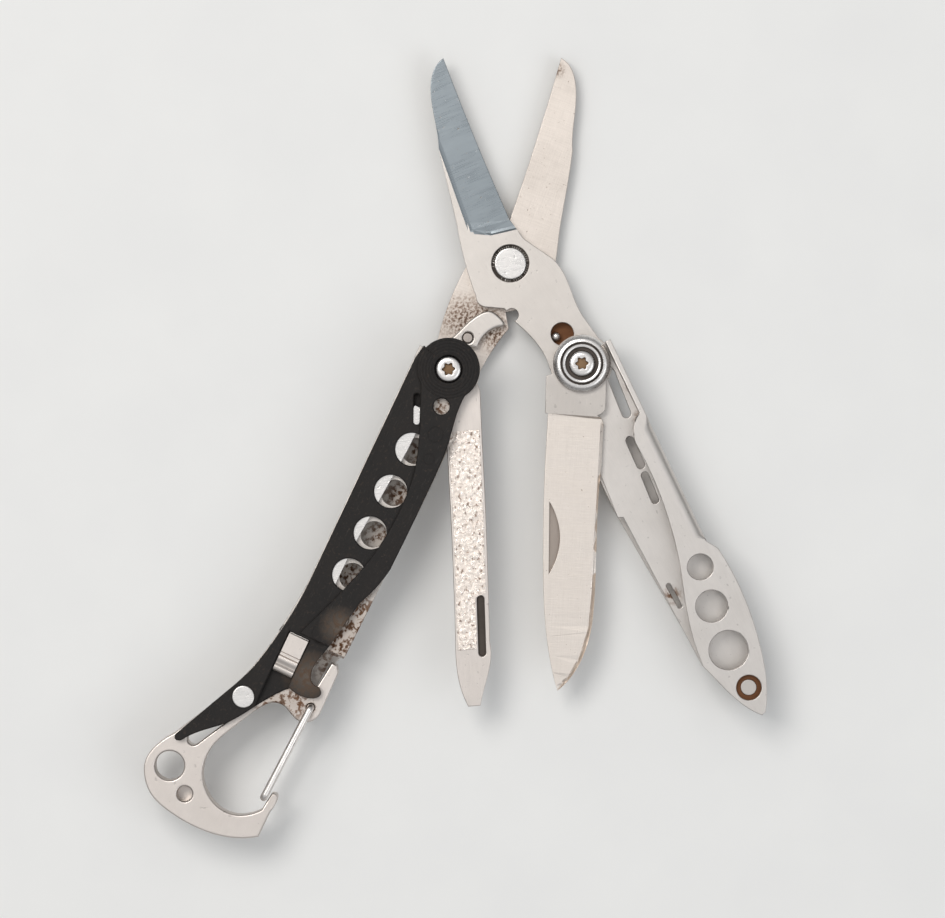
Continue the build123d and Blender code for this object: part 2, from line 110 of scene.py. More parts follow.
class Finish:
    """Builds one node material; each method adds a layer to its colour, roughness or bump."""

    def __init__(self, name, tone, roughness, metallic=1.0, turn=0.0):
        self.material = bpy.data.materials.new(name)
        self.material.use_nodes = True
        self.nodes = self.material.node_tree.nodes
        self.links = self.material.node_tree.links
        self.shader = self.nodes["Principled BSDF"]
        self.shader.inputs["Metallic"].default_value = metallic
        self.coordinates = self.nodes.new("ShaderNodeTexCoord").outputs["Object"]
        self.turn = turn
        colour = self.nodes.new("ShaderNodeRGB")
        colour.outputs[0].default_value = (*tone, 1.0)
        self.colour = colour.outputs[0]
        level = self.nodes.new("ShaderNodeValue")
        level.outputs[0].default_value = roughness
        self.roughness = level.outputs[0]
        self.height = None

    def mapped(self, along, across):
        """Coordinates turned to the piece's length and scaled to that many cells a metre."""
        turned = self.nodes.new("ShaderNodeMapping")
        turned.inputs["Rotation"].default_value = (0.0, 0.0, -self.turn)
        self.links.new(self.coordinates, turned.inputs["Vector"])
        scaled = self.nodes.new("ShaderNodeMapping")
        scaled.inputs["Scale"].default_value = (along, across, max(along, across) * 0.5)
        self.links.new(turned.outputs[0], scaled.inputs["Vector"])
        return scaled.outputs[0]

    def field(self, along, across, detail=4.0, rough=0.55, low=0.35, high=0.65):
        """Noise of that many cells a metre each way, stretched to run from 0 to 1."""
        cloud = self.nodes.new("ShaderNodeTexNoise")
        cloud.inputs["Scale"].default_value = 1.0
        cloud.inputs["Detail"].default_value = detail
        cloud.inputs["Roughness"].default_value = rough
        self.links.new(self.mapped(along, across), cloud.inputs["Vector"])
        return self.span(cloud.outputs["Fac"], low, high)

    def span(self, value, low, high):
        """value from low to high, stretched to run from 0 to 1."""
        reach = self.nodes.new("ShaderNodeMapRange")
        reach.inputs["From Min"].default_value = low
        reach.inputs["From Max"].default_value = high
        self.links.new(value, reach.inputs["Value"])
        return reach.outputs["Result"]

    def combine(self, operation, first, second):
        """One sum of two values, each a socket or a number."""
        node = self.nodes.new("ShaderNodeMath")
        node.operation = operation
        for socket, value in zip(node.inputs, (first, second)):
            if isinstance(value, (int, float)):
                socket.default_value = value
            else:
                self.links.new(value, socket)
        return node.outputs[0]

    def tint(self, mask, colour, amount=1.0):
        mix = self.nodes.new("ShaderNodeMix")
        mix.data_type = "RGBA"
        self.links.new(self.combine("MULTIPLY", mask, amount), mix.inputs["Factor"])
        self.links.new(self.colour, mix.inputs["A"])
        mix.inputs["B"].default_value = (*colour, 1.0)
        self.colour = mix.outputs["Result"]
        return self

    def rough(self, mask, amount):
        self.roughness = self.combine("ADD", self.roughness, self.combine("MULTIPLY", mask, amount))
        return self

    def raise_by(self, mask, amount):
        step = self.combine("MULTIPLY", mask, amount)
        self.height = step if self.height is None else self.combine("ADD", self.height, step)
        return self

    def near(self, spot, radius, soft):
        """1 inside a blot of that radius in metres round spot, fading out past it."""
        gap = self.nodes.new("ShaderNodeVectorMath")
        gap.operation = "DISTANCE"
        self.links.new(self.coordinates, gap.inputs[0])
        gap.inputs[1].default_value = spot
        return self.span(gap.outputs["Value"], radius, radius * soft)

    def blots(self, spots, colour, amount, cells=1600.0, low=0.47, high=0.56):
        """Grime: a soft stain and speckles round each (spot, radius)."""
        grains = self.field(cells, cells, 6.0, 0.62, low, high)
        for spot, radius in spots:
            self.tint(self.near(spot, radius, 0.1), STAIN, 0.45 * amount)
            mask = self.combine("MULTIPLY", self.near(spot, radius, 0.25), grains)
            self.tint(mask, colour, amount)
            self.rough(mask, 0.3)
            self.raise_by(mask, 0.05)
        return self

    def done(self, bump=0.35):
        self.links.new(self.colour, self.shader.inputs["Base Color"])
        self.links.new(self.roughness, self.shader.inputs["Roughness"])
        if self.height is not None:
            node = self.nodes.new("ShaderNodeBump")
            node.inputs["Strength"].default_value = bump
            node.inputs["Distance"].default_value = 0.0001
            self.links.new(self.height, node.inputs["Height"])
            self.links.new(node.outputs["Normal"], self.shader.inputs["Normal"])
        return self.material


RUST = (0.16, 0.075, 0.035)
STAIN = (0.30, 0.235, 0.185)


def satin_steel(name, tone, roughness, turn=0.0, grain=0.5, spots=(), cloud=0.5):
    """Tumbled sheet steel: fine random dimples, faint lengthwise drag and a few small dings."""
    steel = Finish(name, tone, roughness, turn=turn)
    dimples = steel.field(9000, 9000, 3.0, 0.6)
    drag = steel.field(500, 9000, 3.0, 0.6)
    patches = steel.field(160, 160, 4.0)
    dings = steel.field(1500, 1500, 2.0, 0.5, 0.68, 0.74)
    steel.tint(patches, [channel * 0.78 for channel in tone], cloud)
    steel.tint(drag, [channel * 1.12 for channel in tone], 0.35 * grain)
    steel.tint(dings, [channel * 0.55 for channel in tone], 0.5)
    steel.rough(patches, 0.07).rough(drag, 0.08)
    steel.raise_by(dimples, 0.10).raise_by(drag, 0.16 * grain).raise_by(dings, -0.25)
    if spots:
        steel.blots(spots, RUST, 0.92)
    return steel.done()


def ground_steel(name, tone, roughness, turn, lines=0.5, sheen=0.35, spots=()):
    """Blade steel with crosswise grinding lines over fine lengthwise ones."""
    steel = Finish(name, tone, roughness, turn=turn)
    crosswise = steel.field(7000, 260, 4.0, 0.65)
    lengthwise = steel.field(220, 7500, 3.0, 0.6)
    patches = steel.field(220, 130, 5.0, 0.6)
    pits = steel.field(3000, 3000, 2.0, 0.5, 0.70, 0.76)
    steel.tint(crosswise, [channel * 0.80 for channel in tone], lines)
    steel.tint(lengthwise, [min(channel * 1.15, 1.0) for channel in tone], 0.6 * lines)
    steel.tint(patches, [channel * 0.82 for channel in tone], sheen)
    steel.tint(pits, (0.20, 0.14, 0.10), 0.65)
    steel.rough(crosswise, 0.10).rough(patches, 0.10)
    steel.raise_by(crosswise, 0.28 * lines).raise_by(lengthwise, 0.2 * lines).raise_by(pits, -0.3)
    if spots:
        steel.blots(spots, RUST, 0.75, 2600.0, 0.44, 0.60)
    return steel.done()


left_sheet = satin_steel(
    "tumbled_left_sheet_steel", (0.60, 0.56, 0.525), 0.36, LEFT.angle, 0.6,
    spots=[(LEFT.at(36.0, -3.4, 0.008), 0.0062), (LEFT.at(43.0, -2.6, 0.006), 0.004),
           (LEFT.at(31.0, 1.0, 0.0046), 0.0035), (LEFT.at(24.7, -1.2, 0.0046), 0.0030),
           (LEFT.at(18.4, -1.2, 0.0046), 0.0030), (LEFT.at(12.0, -1.2, 0.0046), 0.0026),
           (LEFT.at(5.0, -1.3, 0.0082), 0.0022), (LEFT.at(40.5, -2.0, 0.0082), 0.0042)],
)
right_sheet = satin_steel(
    "tumbled_right_sheet_steel", (0.64, 0.605, 0.575), 0.33, RIGHT.angle, 0.7,
    spots=[(RIGHT.at(49.7, 1.5, 0.0050), 0.0024), (RIGHT.at(34.0, -2.4, 0.0046), 0.0016),
           (RIGHT.at(10.4, 4.2, 0.0050), 0.0016), (RIGHT.at(5.5, 4.3, 0.0060), 0.0016)],
)
clip_steel = satin_steel(
    "tumbled_clip_steel", (0.68, 0.625, 0.585), 0.31, LEFT.angle, 0.4,
    spots=[(LEFT.at(50.0, -0.4, 0.0082), 0.0036), (LEFT.at(51.2, 2.6, 0.0082), 0.0030),
           (LEFT.at(65.1, 11.3, 0.006), 0.0024)],
)
front_blade_steel = satin_steel(
    "stamped_scissor_steel", (0.62, 0.58, 0.545), 0.33, math.radians(-60), 0.5,
)
rear_blade_steel = ground_steel(
    "lapped_scissor_steel", (0.66, 0.60, 0.55), 0.34, math.radians(67), 0.45, 0.5,
    spots=[(BLADES.at(-4.0, -7.2, 0.0023), 0.0042), (BLADES.at(-7.6, -7.0, 0.0023), 0.0040),
           (BLADES.at(-2.2, -10.2, 0.0023), 0.0030), (BLADES.at(7.6, 26.4, 0.0023), 0.0014)],
)
# The grind is mirror-ground; its dark blue-grey base colour is a painted reflection, not the steel's own
# colour.
reflection_painted_mirror_steel = ground_steel("mirror_ground_steel_painted_reflection", (0.30, 0.335, 0.36), 0.20, math.radians(110), 0.05, 0.15)
knife_steel = ground_steel("ground_knife_steel", (0.84, 0.765, 0.70), 0.27, KNIFE.angle, 0.55, 0.7)
ricasso_steel = satin_steel("blanked_knife_steel", (0.54, 0.505, 0.475), 0.36, KNIFE.angle, 0.6)
# The nail nick's darker tone is painted shade in the recess.
nick_painted_shade = satin_steel("nick_painted_shade_steel", (0.36, 0.31, 0.275), 0.42, KNIFE.angle, 1.0)
file_steel = satin_steel("blanked_file_steel", (0.68, 0.625, 0.585), 0.32, FILE.angle, 0.6)
bright_steel = satin_steel("turned_bright_steel", (0.80, 0.775, 0.755), 0.20, 0.0, 0.3, cloud=0.25)
groove_steel = satin_steel("shadowed_groove_steel", (0.10, 0.085, 0.075), 0.55, 0.0, 0.3)
inner_steel = satin_steel("plain_washer_steel", (0.42, 0.38, 0.35), 0.42, 0.0, 0.4)
rusty_steel = satin_steel("rusty_leaf_steel", (0.20, 0.095, 0.05), 0.6, 0.0, 0.6, cloud=0.9)
socket_grime = satin_steel("grimy_socket_steel", (0.26, 0.17, 0.10), 0.5, 0.0, 0.5, cloud=0.8)
wire_steel = satin_steel("drawn_wire_steel", (0.80, 0.76, 0.73), 0.24, LEFT.angle, 0.9)


def toothed_steel():
    """Coarse file cut: bright crests and darker, warmer hollows."""
    steel = Finish("coarse_file_steel", (0.80, 0.73, 0.675), 0.27, turn=FILE.angle)
    chips = steel.field(2600, 2600, 3.0, 0.6, 0.40, 0.62)
    fine = steel.field(9000, 9000, 2.0, 0.6)
    grime = steel.field(1500, 1900, 3.0, 0.6, 0.56, 0.66)
    steel.tint(chips, (0.60, 0.52, 0.46), 0.6).tint(grime, (0.20, 0.13, 0.095), 0.85)
    steel.rough(chips, 0.18).raise_by(fine, 0.35).raise_by(chips, -0.4)
    return steel.done(0.5)


def black_nylon():
    """Glass-filled moulding: sparkle-fine grain, pale scuffs on the crown and brown dust in the hollows."""
    nylon = Finish("glass_filled_black_nylon", (0.012, 0.0105, 0.010), 0.48, metallic=0.0, turn=LEFT.angle)
    grain = nylon.field(7000, 7000, 3.0, 0.6)
    clouds = nylon.field(300, 300, 4.0)
    scuffs = nylon.field(700, 5200, 3.0, 0.6, 0.62, 0.72)
    dust = nylon.field(2600, 2600, 5.0, 0.65, 0.58, 0.66)
    nylon.tint(clouds, (0.020, 0.017, 0.0155), 0.8)
    nylon.tint(scuffs, (0.050, 0.044, 0.040), 0.5)
    nylon.tint(dust, (0.060, 0.042, 0.031), 0.40)
    nylon.rough(clouds, 0.10).rough(grain, 0.06)
    nylon.raise_by(grain, 0.42).raise_by(scuffs, 0.10)
    nylon.blots([(LEFT.at(46.0, -0.6, 0.0098), 0.0040), (LEFT.at(38.0, -1.6, 0.0098), 0.0030)],
                (0.10, 0.062, 0.040), 0.7)
    nylon.shader.inputs["Specular IOR Level"].default_value = 0.22
    return nylon.done(0.5)


file_teeth_steel = toothed_steel()
nylon = black_nylon()

# ------------------------------------------------------------------ mesh tools
MERGE = 0.001 * MM            # CAD triangles closer than this share a corner
LEVEL_NORMAL = 0.985          # a face whose normal rises more than this is level
UPRIGHT_NORMAL = 0.35         # and less than this is an upright wall


def merged_copy(node, name):
    """An editable copy of a CAD node with its doubles merged."""
    work = bmesh.new()
    work.from_mesh(frame["nodes"][node].data)
    bmesh.ops.remove_doubles(work, verts=work.verts, dist=MERGE)
    mesh = bpy.data.meshes.new(name)
    work.to_mesh(mesh)
    work.free()
    piece = bpy.data.objects.new(name, mesh)
    bpy.context.scene.collection.objects.link(piece)
    return piece


def settle(piece):
    """Turns a piece's modifiers into its plain mesh."""
    view = bpy.context.evaluated_depsgraph_get()
    view.update()
    made = bpy.data.meshes.new_from_object(piece.evaluated_get(view))
    piece.modifiers.clear()
    piece.data = made
    return piece


def is_level(face):
    return abs(face.normal.z) > LEVEL_NORMAL


def inward(edge, face):
    """Unit direction in the plan from a rim edge into its level face."""
    run = edge.verts[1].co - edge.verts[0].co
    side = Vector((-run.y, run.x, 0.0)).normalized()
    return side if side.dot(face.calc_center_median() - edge.verts[0].co) > 0 else -side


def rim_edges(work):
    """Outward corners between a level face and an upright wall, with the level face of each."""
    rims = {}
    for edge in work.edges:
        if len(edge.link_faces) != 2 or not edge.is_convex:
            continue
        level = [face for face in edge.link_faces if is_level(face)]
        wall = [face for face in edge.link_faces if abs(face.normal.z) < UPRIGHT_NORMAL]
        if len(level) == 1 and len(wall) == 1:
            rims[edge] = level[0]
    return rims


def rim_push(vert, rims):
    """How far in the plan a rim corner moves for a rounding of 1, or None where the rim ends there."""
    own = [edge for edge in vert.link_edges if edge in rims]
    if len(own) != 2:
        return None
    if any(edge.calc_face_angle(0.0) > 0.6 and edge not in rims and is_level(edge.link_faces[0])
           for edge in vert.link_edges if len(edge.link_faces) == 2):
        return None
    first, second = (inward(edge, rims[edge]) for edge in own)
    share = 1.0 + first.dot(second)
    return (first + second) / share if share > 0.25 else None


def ease_edges(piece, width, steps=3):
    """Rounds the rims of a flat piece and leaves its inside corners alone.
    width is in millimetres, or a function that gives it for a place."""
    work = bmesh.new()
    work.from_mesh(piece.data)
    work.normal_update()
    rims = rim_edges(work)
    points = [vert.co.copy() for vert in work.verts]
    facing = {}
    work.verts.index_update()
    chains = {}
    for vert in work.verts:
        if not any(edge in rims for edge in vert.link_edges):
            continue
        push = rim_push(vert, rims)
        if push is None:
            chains[vert] = [vert.index] * (steps + 1)
            continue
        edge = next(edge for edge in vert.link_edges if edge in rims)
        up = Vector((0.0, 0.0, 1.0 if rims[edge].normal.z > 0 else -1.0))
        reach = (width(vert.co) if callable(width) else width) * MM
        out = -push.normalized()
        chain = []
        for ring in range(steps + 1):
            turn = math.pi / 2 * ring / steps
            into = push * reach * (1.0 - math.sin(turn))
            chain.append(len(points))
            facing[len(points)] = (out * math.sin(turn) + up * math.cos(turn), out)
            points.append(vert.co + into - up * reach * (1.0 - math.cos(turn)))
        chains[vert] = chain
    faces, kinds, rounded = [], [], []
    for face in work.faces:
        end = 0 if is_level(face) else -1
        faces.append([chains[vert][end] if vert in chains else vert.index for vert in face.verts])
        kinds.append(face.material_index)
        rounded.append("level" if is_level(face) else "wall")
    for edge, level in rims.items():
        loop = next(loop for loop in level.loops if loop.edge == edge)
        first, second = chains[loop.vert], chains[loop.link_loop_next.vert]
        for ring in range(steps):
            faces.append(list(dict.fromkeys([second[ring], first[ring], first[ring + 1], second[ring + 1]])))
            kinds.append(level.material_index)
            rounded.append("rim")
    work.free()
    keep = [entry for entry in zip(faces, kinds, rounded) if len(entry[0]) > 2]
    used = sorted({index for face, kind, shape in keep for index in face})
    renumbered = {old: new for new, old in enumerate(used)}
    mesh = bpy.data.meshes.new(piece.name)
    corners = [tuple(points[old]) for old in used]
    mesh.from_pydata(corners, [], [[renumbered[old] for old in face] for face, kind, shape in keep])
    for material in piece.data.materials:
        mesh.materials.append(material)
    mesh.shade_smooth()
    turns = []
    for polygon, (face, kind, shape) in zip(mesh.polygons, keep):
        polygon.material_index = kind
        for old in face:
            normal = polygon.normal
            if shape == "rim" and old in facing:
                normal = facing[old][0]
            elif shape == "wall" and old in facing and facing[old][1].dot(polygon.normal) > 0.86:
                normal = facing[old][1]
            turns.append(tuple(normal))
    mesh.normals_split_custom_set(turns)
    piece.data = mesh
    return piece


def smooth(piece, angle=32.0):
    piece.data.shade_smooth()
    piece.data.set_sharp_from_angle(angle=math.radians(angle))
    normals = piece.modifiers.new("normals", "WEIGHTED_NORMAL")
    normals.keep_sharp = True
    normals.weight = 80
    return settle(piece)


def dress(piece, *materials):
    """Gives a piece its materials. Old slots are cleared, which also resets painted faces."""
    if piece.data.materials:
        piece.data.materials.clear()
    for material in materials:
        piece.data.materials.append(material)
    return piece


def stand_for(piece, body, slot, *nodes):
    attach(piece, body)
    if nodes:
        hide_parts(*nodes)
    return piece


def cut(work, start, end):
    """Adds edges to the faces where the upright plane through two places crosses them."""
    run = end - start
    side = Vector((-run.y, run.x, 0.0))
    geometry = work.verts[:] + work.edges[:] + work.faces[:]
    bmesh.ops.bisect_plane(work, geom=geometry, dist=0.0005 * MM, plane_co=start, plane_no=side)


def reshape(piece, cuts, height_at):
    """Cuts the mesh along lines of places, then moves each upper point to height_at(spot)."""
    work = bmesh.new()
    work.from_mesh(piece.data)
    for start, end in cuts:
        cut(work, start, end)
    for vert in work.verts:
        vert.co.z = height_at(vert.co)
    bmesh.ops.triangulate(work, faces=[face for face in work.faces if len(face.verts) > 3])
    work.to_mesh(piece.data)
    work.free()
    return piece


def paint_where(piece, index, test):
    for face in piece.data.polygons:
        if test(face.center, face.normal):
            face.material_index = index


def side_of(spot, start, end):
    """Distance of spot to the left of the line from start to end."""
    run = end - start
    off = spot - start
    return (run.x * off.y - run.y * off.x) / math.hypot(run.x, run.y)


# ------------------------------------------------------------------ scissors
blade_top = top_of("front_scissor_blade")
grind_border = [
    (-9.6, 18.2), (-8.85, 15.2), (-6.95, 9.1), (-5.9, 5.7),
    (-5.3, 4.75), (-4.5, 4.2), (-2.4, 3.95), (1.6, 4.7),
]
grind_lines = [
    (BLADES.at(*start), BLADES.at(*end)) for start, end in zip(grind_border, grind_border[1:])
]
grind_ramp = (0.25 * MM, 0.60 * MM)
grind_depth = 0.12 * MM
grind_slope = 0.035

front_blade = merged_copy("front_scissor_blade", "front_blade")


def offset(line, gap):
    run = line[1] - line[0]
    side = Vector((-run.y, run.x, 0.0)).normalized() * gap
    return line[0] + side, line[1] + side


def into_grind(spot):
    """How far a place lies inside the hollow-ground face; negative outside it."""
    flat = Vector((spot.x, spot.y, 0.0))
    return min(side_of(flat, *line) for line in grind_lines)


def front_blade_height(spot):
    inside = into_grind(spot)
    if spot.z < blade_top - 0.3 * MM or inside < 0.5 * grind_ramp[0]:
        return spot.z
    from_back = side_of(Vector((spot.x, spot.y, 0.0)), *grind_lines[1])
    share = 0.65 if inside < (grind_ramp[0] + grind_ramp[1]) / 2 else 1.0
    return spot.z - share * (grind_depth + grind_slope * max(from_back, 0.0))


reshape(
    front_blade,
    grind_lines + [offset(line, gap) for line in grind_lines for gap in grind_ramp],
    front_blade_height,
)
dress(front_blade, front_blade_steel, reflection_painted_mirror_steel, groove_steel)
GROOVE = (2.15, 2.68)


def in_grind(spot, normal):
    """Whether an upward face lies in the grind, above the underside of the blade."""
    return normal.z > 0.5 and spot.z > blade_top - 1.3 * MM and into_grind(spot) > 0


def in_rivet_groove(spot, normal):
    reach = math.hypot(spot.x - scissor_pivot.x, spot.y - scissor_pivot.y) / MM
    return GROOVE[0] < reach < GROOVE[1] and spot.z < blade_top - 0.02 * MM


# The grind faces take the steel whose dark blue-grey colour is a painted reflection.
paint_where(front_blade, 1, in_grind)
paint_where(front_blade, 2, in_rivet_groove)
ease_edges(front_blade, 0.09)
stand_for(front_blade, "front_blade", "scissor_steel", "front_scissor_blade")

rear_blade = merged_copy("rear_scissor_blade", "rear_blade")
dress(rear_blade, rear_blade_steel)
ease_edges(rear_blade, 0.09)
stand_for(rear_blade, "rear_blade", "scissor_steel", "rear_scissor_blade")


def finish_node(node, body, slot, material, width, steps=2):
    piece = dress(merged_copy(node, node + "_shown"), material)
    if width:
        ease_edges(piece, width, steps)
    else:
        smooth(piece)
    return stand_for(piece, body, slot, node)


finish_node("spring_lever", "spring_lever", "scissor_steel", front_blade_steel, 0.32, 4)
finish_node("lever_pin", "rear_blade", "bright_steel", inner_steel, 0.08, 3)
finish_node("scissor_rivet", "front_blade", "bright_steel", bright_steel, 0.22, 4)

# ------------------------------------------------------------------ handles
BEND_START, BEND_END = 10.2, 28.8
BEND_RADIUS = 1.25
front_top = top_of("right_handle_frame")
right_frame = dress(merged_copy("right_handle_frame", "right_frame"), right_sheet)
OUTER_EDGE = 4.9              # millimetres from the handle's line to the outside of its fold
BEND_INSIDE = OUTER_EDGE - BEND_RADIUS - 0.05
bend_cuts = [(RIGHT.at(-9, BEND_INSIDE), RIGHT.at(70, BEND_INSIDE))]
bend_stations = (BEND_START, BEND_START + 1.6, BEND_END - 0.8, BEND_END)
bend_cuts += [(RIGHT.at(s, -9), RIGHT.at(s, 9)) for s in bend_stations]
reshape(right_frame, bend_cuts, lambda spot: spot.z)
for vert in right_frame.data.vertices:
    s, w = RIGHT.find(vert.co)
    # Face points in the way of the bend gather at its inside line, so no triangle turns over.
    if vert.co.z > front_top - 0.05 * MM and BEND_INSIDE < w < OUTER_EDGE - 0.01:
        if BEND_START + 0.3 < s < BEND_END - 0.1:
            vert.co = RIGHT.at(s, BEND_INSIDE + (w - BEND_INSIDE) * 0.03, vert.co.z)


def right_frame_rim(spot):
    """A broad bend along the outer fold, fine broken edges elsewhere."""
    s, w = RIGHT.find(spot)
    if spot.z > front_top - 0.05 * MM and w > 4.5 and BEND_START + 0.1 < s < BEND_END - 0.1:
        return BEND_RADIUS
    return 0.13


ease_edges(right_frame, right_frame_rim, 4)
stand_for(right_frame, "right_handle", "handle_steel", "right_handle_frame")
finish_node("left_handle_frame", "left_handle", "handle_steel", left_sheet, 0.13, 3)
finish_node("carabiner_plate", "left_handle", "clip_steel", clip_steel, 0.26, 3)
finish_node("handle_scale", "left_handle", "black_nylon", nylon, 0.20, 3)
finish_node("scale_rivet", "left_handle", "bright_steel", bright_steel, 0.14, 3)
finish_node("tweezer_arms", "tweezers", "clip_steel", bright_steel, 0.04)
finish_node("wire_gate", "wire_gate", "clip_steel", wire_steel, 0)
finish_node("right_tail_spacer", "right_handle", "inner_steel", rusty_steel, 0.05)
finish_node("right_tail_rivet", "right_handle", "bright_steel", ricasso_steel, 0.12)

# ------------------------------------------------------------------ turned pieces


def object_from(work, name):
    bmesh.ops.remove_doubles(work, verts=work.verts, dist=0.0005 * MM)
    bmesh.ops.recalc_face_normals(work, faces=work.faces)
    mesh = bpy.data.meshes.new(name)
    work.to_mesh(mesh)
    work.free()
    piece = bpy.data.objects.new(name, mesh)
    bpy.context.scene.collection.objects.link(piece)
    return piece


LATHE_STEPS = 96


def below(top, drops):
    """Profile points from (place, millimetres below top)."""
    return [(place, top - drop * MM) for place, drop in drops]


def turned(name, centre, profile, materials, grooves=(), lobed=()):
    """A lathe-turned piece. profile is closed rings of (radius, height) in millimetres and metres;
    the rings named in lobed follow a six-lobed socket, and those in grooves take the second material."""
    work = bmesh.new()
    rings = []
    for index, (radius, height) in enumerate(profile):
        ring = []
        for step in range(LATHE_STEPS):
            turn = 2 * math.pi * step / LATHE_STEPS
            reach = radius * (0.86 + 0.14 * math.cos(6 * turn)) if index in lobed else radius
            ring.append(work.verts.new((
                centre.x + reach * MM * math.cos(turn), centre.y + reach * MM * math.sin(turn), height
            )))
        rings.append(ring)
    for index in range(len(rings) - 1):
        for step in range(LATHE_STEPS):
            after = (step + 1) % LATHE_STEPS
            face = work.faces.new((
                rings[index][step], rings[index][after], rings[index + 1][after], rings[index + 1][step]
            ))
            face.material_index = 1 if index in grooves else 0
    if profile[0] != profile[-1]:
        for ring in (rings[0], rings[-1]):
            cap = work.faces.new(ring)
            cap.material_index = 1 if ring is rings[0] and 0 in grooves else 0
    return smooth(dress(object_from(work, name), *materials), 38.0)


def screw_head(name, node, body):
    """Domed screw with a six-lobed socket; the profile runs from the socket's floor out and down."""
    low, high = bottom_of(node), top_of(node)
    socket_and_dome = [
        (0.80, 0.55), (0.86, 0.11), (0.93, 0.02), (1.02, 0.0), (1.25, 0.01),
        (1.45, 0.06), (1.62, 0.15), (1.74, 0.28), (1.80, 0.42),
    ]
    profile = below(high, socket_and_dome) + [(1.80, low)]
    piece = turned(name, middle(node), profile, (bright_steel, socket_grime), grooves=(0, 1), lobed=(0, 1, 2))
    return stand_for(piece, body, "bright_steel", node)


screw_head("right_screw", "right_pivot_screw", "right_handle")
screw_head("left_screw", "left_pivot_screw", "left_handle")

ring_low, ring_high = bottom_of("right_pivot_ring"), top_of("right_pivot_ring")
ring_steps = [
    (1.55, 0.56), (1.88, 0.56), (2.24, 0.56), (2.27, 0.05), (2.34, 0.0), (2.58, 0.0), (2.64, 0.05),
    (2.68, 0.42), (2.88, 0.42), (2.92, 0.06), (2.98, 0.0), (3.28, 0.02), (3.42, 0.10), (3.80, 0.46),
    (3.93, 0.62), (3.95, 0.78),
]
ring_profile = [(1.55, ring_low), *below(ring_high, ring_steps), (3.95, ring_low), (1.55, ring_low)]
ring = turned(
    "right_ring", middle("right_pivot_ring"), ring_profile, (bright_steel, groove_steel),
    grooves=(1, 2, 3, 7, 8, 9),
)
stand_for(ring, "right_handle", "bright_steel", "right_pivot_ring")

# ------------------------------------------------------------------ tweezer grip


def swept_profile(name, lay, profile, w0, w1, base):
    """A side profile of (s, height) drawn across from w0 to w1, closed by a flat base."""
    work = bmesh.new()
    loops = []
    for w in (w0, w1):
        loop = [work.verts.new(lay.at(s, w, height)) for s, height in profile]
        loop += [work.verts.new(lay.at(profile[end][0], w, base)) for end in (-1, 0)]
        loops.append(loop)
    count = len(loops[0])
    for step in range(count):
        after = (step + 1) % count
        work.faces.new((loops[0][step], loops[0][after], loops[1][after], loops[1][step]))
    for loop in loops:
        work.faces.new(loop)
    return object_from(work, name)


grip_low, grip_top = bottom_of("tweezer_head"), top_of("tweezer_head")
grip_profile = below(grip_top, [
    (41.6, 0.10), (41.7, 0.0), (44.35, 0.0), (44.5, 0.42), (44.85, 0.42), (45.0, 0.12), (45.25, 0.02),
    (45.6, 0.10), (45.85, 0.34), (46.1, 0.36), (46.35, 0.12), (46.6, 0.06), (46.95, 0.16), (47.2, 0.5),
])
grip = swept_profile("tweezer_grip", LEFT, grip_profile, 1.4, 4.2, grip_low)
grip = smooth(dress(grip, clip_steel), 40.0)
stand_for(grip, "tweezers", "clip_steel", "tweezer_head")

# ------------------------------------------------------------------ moulded rings on the cover


def ring_tree(name, material):
    """Node tree: concentric moulded ridges, with inputs for where they are and how they are spaced."""
    tree = bpy.data.node_groups.new(name, "GeometryNodeTree")
    tree.is_modifier = True
    face = tree.interface
    face.new_socket("Geometry", in_out="OUTPUT", socket_type="NodeSocketGeometry")
    face.new_socket("Centre", in_out="INPUT", socket_type="NodeSocketVector")
    face.new_socket("Inner Radius", in_out="INPUT", socket_type="NodeSocketFloat")
    face.new_socket("Spacing", in_out="INPUT", socket_type="NodeSocketFloat")
    face.new_socket("Ridge Radius", in_out="INPUT", socket_type="NodeSocketFloat")
    face.new_socket("Ridge Count", in_out="INPUT", socket_type="NodeSocketInt")
    nodes, links = tree.nodes, tree.links
    given = nodes.new("NodeGroupInput").outputs
    line = nodes.new("GeometryNodeMeshLine")
    links.new(given["Ridge Count"], line.inputs["Count"])
    line.inputs["Offset"].default_value = (0.0, 0.0, 0.0)
    index = nodes.new("GeometryNodeInputIndex")
    times = nodes.new("ShaderNodeMath")
    times.operation = "MULTIPLY_ADD"
    links.new(index.outputs[0], times.inputs[0])
    links.new(given["Spacing"], times.inputs[1])
    links.new(given["Inner Radius"], times.inputs[2])
    sizes = nodes.new("ShaderNodeCombineXYZ")
    for axis in ("X", "Y"):
        links.new(times.outputs[0], sizes.inputs[axis])
    sizes.inputs["Z"].default_value = 1.0
    circle = nodes.new("GeometryNodeCurvePrimitiveCircle")
    circle.inputs["Resolution"].default_value = 96
    circle.inputs["Radius"].default_value = 1.0
    place = nodes.new("GeometryNodeInstanceOnPoints")
    links.new(line.outputs[0], place.inputs["Points"])
    links.new(circle.outputs[0], place.inputs["Instance"])
    links.new(sizes.outputs[0], place.inputs["Scale"])
    realise = nodes.new("GeometryNodeRealizeInstances")
    links.new(place.outputs[0], realise.inputs[0])
    section = nodes.new("GeometryNodeCurvePrimitiveCircle")
    section.inputs["Resolution"].default_value = 8
    links.new(given["Ridge Radius"], section.inputs["Radius"])
    tube = nodes.new("GeometryNodeCurveToMesh")
    links.new(realise.outputs[0], tube.inputs["Curve"])
    links.new(section.outputs[0], tube.inputs["Profile Curve"])
    move = nodes.new("GeometryNodeTransform")
    links.new(tube.outputs[0], move.inputs["Geometry"])
    links.new(given["Centre"], move.inputs["Translation"])
    paint = nodes.new("GeometryNodeSetMaterial")
    paint.inputs["Material"].default_value = material
    links.new(move.outputs[0], paint.inputs["Geometry"])
    out = nodes.new("NodeGroupOutput")
    links.new(paint.outputs[0], out.inputs[0])
    return tree


